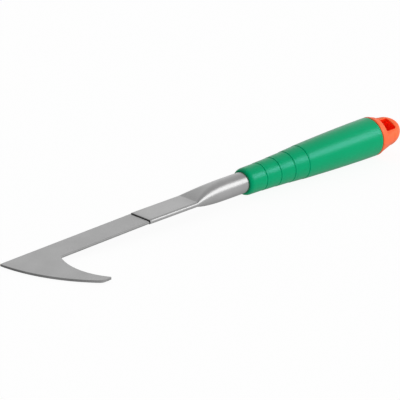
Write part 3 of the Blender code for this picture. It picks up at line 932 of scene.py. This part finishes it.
def plastic_material(name, colours, roughness_range, specular, tint, texture_depth):
    """Moulded plastic: spark-eroded texture, faint flow marks, paler at outer edges as a painted highlight
    and deeper in recesses as painted shade.
    """
    material, tree, shader = new_material(name, roughness_range[0], 0.0)
    base, pale, deep = colours
    flow = grain(tree, coordinates(tree, FLOW_STRETCH), FLOW_WAVES, detail=3.0)
    texture = grain(tree, coordinates(tree), TEXTURE_WAVES, detail=3.0, roughness=0.6)
    swell = grain(tree, coordinates(tree), SWELL_WAVES, detail=2.0)
    tone = blend(tree, ranged(tree, flow, 0.0, FLOW_SHARE), base, deep)
    tone = blend(tree, ranged(tree, texture, 0.0, TEXTURE_SHARE), tone, pale)
    # painted highlight: outer edges turn pale
    tone = blend(tree, edge_mask_for_painted_light(tree, *PLASTIC_PAINTED_HIGHLIGHT), tone, pale)
    # painted shade: recesses turn to the deep colour
    tone = blend(tree, edge_mask_for_painted_light(tree, *PLASTIC_PAINTED_SHADE), tone, deep)
    tree.links.new(tone, shader.inputs["Base Color"])
    tree.links.new(ranged(tree, texture, *roughness_range), shader.inputs["Roughness"])
    shader.inputs["Specular IOR Level"].default_value = specular
    shader.inputs["Specular Tint"].default_value = (*tint, 1.0)
    normal = bumped(tree, swell, SWELL_DEPTH, SWELL_STRENGTH)
    normal = bumped(tree, texture, texture_depth, TEXTURE_STRENGTH, normal)
    tree.links.new(normal, shader.inputs["Normal"])
    return material


def make_translucent(material, weight, radius, scale):
    """Let light wander inside a material, further in the colours with a larger radius."""
    shader = material.node_tree.nodes["Principled BSDF"]
    shader.inputs["Subsurface Weight"].default_value = weight
    shader.inputs["Subsurface Radius"].default_value = radius
    shader.inputs["Subsurface Scale"].default_value = scale


# ---------------------------------------------------------------- floor, light and camera

FLOOR_HALF = 6.0
FLOOR_DROP = 0.05 * MM          # the floor lies just below the tool's lowest points
FLOOR_ROUGHNESS = 0.9
FLOOR_COLOUR = (0.12, 0.12, 0.12)
FLOOR_GLOW = 0.93

# Brightness of the studio round the tool: a level, and what each direction adds to it
SKY_LEVEL = 0.77
SKY_TOWARDS_Y = 0.21
SKY_TOWARDS_X = 0.32
SKY_TOWARDS_TOP = -0.42
GROUND_LEVEL = 0.52
GROUND_TOWARDS_X = 0.06
GROUND_TOWARDS_Y = -0.34
GROUND_LEAST = 0.06
HORIZON_SOFT = 0.08             # height over which the ground turns into sky

# Softboxes: directions in the frame's axes from the grip, lengths in metres
KEY_TOWARDS = (0.634, -0.629, 0.449)        # mirrored to the camera by the tube's near upper side
GLOSS_TOWARDS = (0.634, -0.610, 0.470)
FILL_TOWARDS = (-0.75, -0.65, 0.15)
MAIN_DISTANCE = 1.1
FILL_DISTANCE = 1.6

CAMERA_AZIMUTH = math.radians(-43.0284)
CAMERA_ELEVATION = math.radians(21.6785)
CAMERA_ROLL = math.radians(-0.7237)
CAMERA_DISTANCE = 1.823
CAMERA_AIM = Vector((-25.8, 16.9, -11.7)) * MM   # in the tool's axes, from the grip's mouth
CAMERA_LENS = 225.0
SENSOR = 36.0
FRAME_SIDE = 400                # pixels
HALF_PIXEL = 0.5 / FRAME_SIDE
NEAREST_SEEN = 0.05
FARTHEST_SEEN = 50.0


def make_floor():
    """A pale floor that neither lights, shades nor mirrors in the tool, as if it lay in a light tent."""
    size = FLOOR_HALF
    mesh = bpy.data.meshes.new("studio_floor")
    corners = [(-size, -size, 0.0), (size, -size, 0.0), (size, size, 0.0), (-size, size, 0.0)]
    mesh.from_pydata(corners, [], [(0, 1, 2, 3)])
    floor = bpy.data.objects.new("studio_floor", mesh)
    floor.location.z = CAD_BOX[0][2] - FLOOR_DROP
    floor.visible_diffuse = False
    floor.visible_glossy = False
    floor.visible_shadow = False
    bpy.context.collection.objects.link(floor)
    material, _, shader = new_material("floor_white", FLOOR_ROUGHNESS, 0.0)
    shader.inputs["Base Color"].default_value = (*FLOOR_COLOUR, 1.0)
    shader.inputs["Specular IOR Level"].default_value = 0.0
    shader.inputs["Emission Color"].default_value = (1.0, 1.0, 1.0, 1.0)
    shader.inputs["Emission Strength"].default_value = FLOOR_GLOW
    mesh.materials.append(material)


def weighted(tree, value, weight, added):
    """A value times a weight plus a number or another value."""
    node = tree.nodes.new("ShaderNodeMath")
    node.operation = "MULTIPLY_ADD"
    tree.links.new(value, node.inputs[0])
    node.inputs[1].default_value = weight
    if isinstance(added, float):
        node.inputs[2].default_value = added
    else:
        tree.links.new(added, node.inputs[2])
    return node.outputs[0]


def make_world():
    """Soft studio light from all round: one gradient above the horizon and another below it."""
    world = bpy.data.worlds.new("studio_light")
    bpy.context.scene.world = world
    world.use_nodes = True
    tree = world.node_tree
    background = tree.nodes["Background"]
    source = tree.nodes.new("ShaderNodeTexCoord")
    split = tree.nodes.new("ShaderNodeSeparateXYZ")
    tree.links.new(source.outputs["Generated"], split.inputs["Vector"])
    across, upward = split.outputs["X"], split.outputs["Z"]
    sky = weighted(tree, across, SKY_TOWARDS_X, SKY_LEVEL)
    sky = weighted(tree, upward, SKY_TOWARDS_TOP, sky)
    sky = weighted(tree, split.outputs["Y"], SKY_TOWARDS_Y, sky)
    ground = weighted(tree, across, GROUND_TOWARDS_X, GROUND_LEVEL)
    ground = weighted(tree, split.outputs["Y"], GROUND_TOWARDS_Y, ground)
    lifted = tree.nodes.new("ShaderNodeMath")
    lifted.operation = "MAXIMUM"
    tree.links.new(ground, lifted.inputs[0])
    lifted.inputs[1].default_value = GROUND_LEAST
    ground = lifted.outputs[0]
    above = ranged(tree, upward, 0.0, 1.0, -HORIZON_SOFT, HORIZON_SOFT)
    level = tree.nodes.new("ShaderNodeMix")
    tree.links.new(above, level.inputs["Factor"])
    tree.links.new(ground, level.inputs["A"])
    tree.links.new(sky, level.inputs["B"])
    tree.links.new(level.outputs["Result"], background.inputs["Strength"])
    background.inputs["Color"].default_value = (1.0, 1.0, 1.0, 1.0)


def soft_light(name, direction, distance, width, height, radiance):
    """A rectangular soft light that faces the grip from a direction, with a given brightness."""
    data = bpy.data.lights.new(name, "AREA")
    data.shape = "RECTANGLE"
    data.size = width
    data.size_y = height
    data.energy = radiance * math.pi * width * height
    light = bpy.data.objects.new(name, data)
    middle = Vector(TOOL.translation)
    towards = Vector(direction).normalized()
    light.location = middle + towards * distance
    light.rotation_mode = "QUATERNION"
    light.rotation_quaternion = towards.to_track_quat("Z", "Y")
    bpy.context.collection.objects.link(light)
    return light


def make_camera():
    """The camera, placed in the tool's own axes."""
    data = bpy.data.cameras.new("camera")
    data.sensor_width = SENSOR
    data.lens = CAMERA_LENS
    data.shift_x = -HALF_PIXEL
    data.shift_y = HALF_PIXEL
    data.clip_start = NEAREST_SEEN
    data.clip_end = FARTHEST_SEEN
    camera = bpy.data.objects.new("camera", data)
    azimuth, elevation = CAMERA_AZIMUTH, CAMERA_ELEVATION
    back = Vector((
        math.sin(azimuth) * math.cos(elevation),
        -math.cos(azimuth) * math.cos(elevation),
        math.sin(elevation),
    ))
    level_right = Vector((math.cos(azimuth), math.sin(azimuth), 0.0))
    level_up = back.cross(level_right)
    right = level_right * math.cos(CAMERA_ROLL) + level_up * math.sin(CAMERA_ROLL)
    up = back.cross(right)
    pose = Matrix((right, up, back)).transposed().to_4x4()
    pose.translation = CAMERA_AIM + back * CAMERA_DISTANCE
    camera.matrix_world = TOOL @ pose
    bpy.context.collection.objects.link(camera)
    bpy.context.scene.camera = camera


# ---------------------------------------------------------------- the scene

make_camera()
make_world()
make_floor()
key = soft_light("key_softbox", KEY_TOWARDS, MAIN_DISTANCE, width=0.80, height=0.62, radiance=1.70)
edge = soft_light("edge_softbox", KEY_TOWARDS, MAIN_DISTANCE, width=0.80, height=0.56, radiance=0.80)
gloss = soft_light("gloss_softbox", GLOSS_TOWARDS, MAIN_DISTANCE, width=0.42, height=0.42, radiance=10.5)
fill = soft_light("fill_softbox", FILL_TOWARDS, FILL_DISTANCE, width=1.4, height=1.4, radiance=1.0)
plastics = bpy.data.collections.new("plastics")
gloss.light_linking.receiver_collection = plastics
fill.light_linking.receiver_collection = plastics
blade_alone = bpy.data.collections.new("blade_alone")
edge.light_linking.receiver_collection = blade_alone
all_but_blade = bpy.data.collections.new("all_but_blade")
key.light_linking.receiver_collection = all_but_blade

bpy.context.scene.view_settings.view_transform = "Standard"

# Steels: dark, light and edge grey; the edge grey is a painted highlight
blade_steel = steel_material("blade_steel", (0.45, 0.495, 0.66), (0.36, 0.44))
shank_steel = steel_material("shank_steel", (0.43, 0.48, 0.60), (0.28, 0.36))
cut_steel = steel_material("cut_steel", (0.30, 0.46, 0.50), (0.40, 0.60))
# Painted shade: near-black steel for the strip at the tube's mouth and for the mouth's end face
painted_shade_steel = steel_material("painted_shade_steel", (0.07, 0.13, 0.16), (0.50, 0.65))

# Plastics: base, pale and deep colour
green = plastic_material(
    "green_plastic",
    colours=((0.0, 0.330, 0.134), (0.0, 0.362, 0.155), (0.0, 0.296, 0.116)),
    roughness_range=(0.27, 0.33),
    specular=0.28,
    tint=(0.10, 0.38, 0.56),
    texture_depth=0.02 * MM,
)
orange = plastic_material(
    "orange_plastic",
    colours=((0.86, 0.140, 0.046), (0.90, 0.160, 0.056), (0.82, 0.12, 0.036)),
    roughness_range=(0.36, 0.46),
    specular=0.25,
    tint=(1.0, 0.35, 0.25),
    texture_depth=0.015 * MM,
)
# Painted shade: a deeper, redder orange for the hanging hole's walls
orange_painted_shade = plastic_material(
    "orange_plastic_painted_shade",
    colours=((1.0, 0.034, 0.005), (1.0, 0.05, 0.008), (0.98, 0.024, 0.003)),
    roughness_range=(0.45, 0.55),
    specular=0.1,
    tint=(1.0, 0.1, 0.05),
    texture_depth=0.015 * MM,
)
make_translucent(orange_painted_shade, weight=0.35, radius=(1.0, 0.1, 0.05), scale=4.0 * MM)

blade_alone.objects.link(make_blade(blade_steel, cut_steel, painted_shade_steel))
all_but_blade.objects.link(make_tube(shank_steel, painted_shade_steel))
for piece in (make_grip(green), make_cap(orange, orange_painted_shade)):
    plastics.objects.link(piece)
    all_but_blade.objects.link(piece)
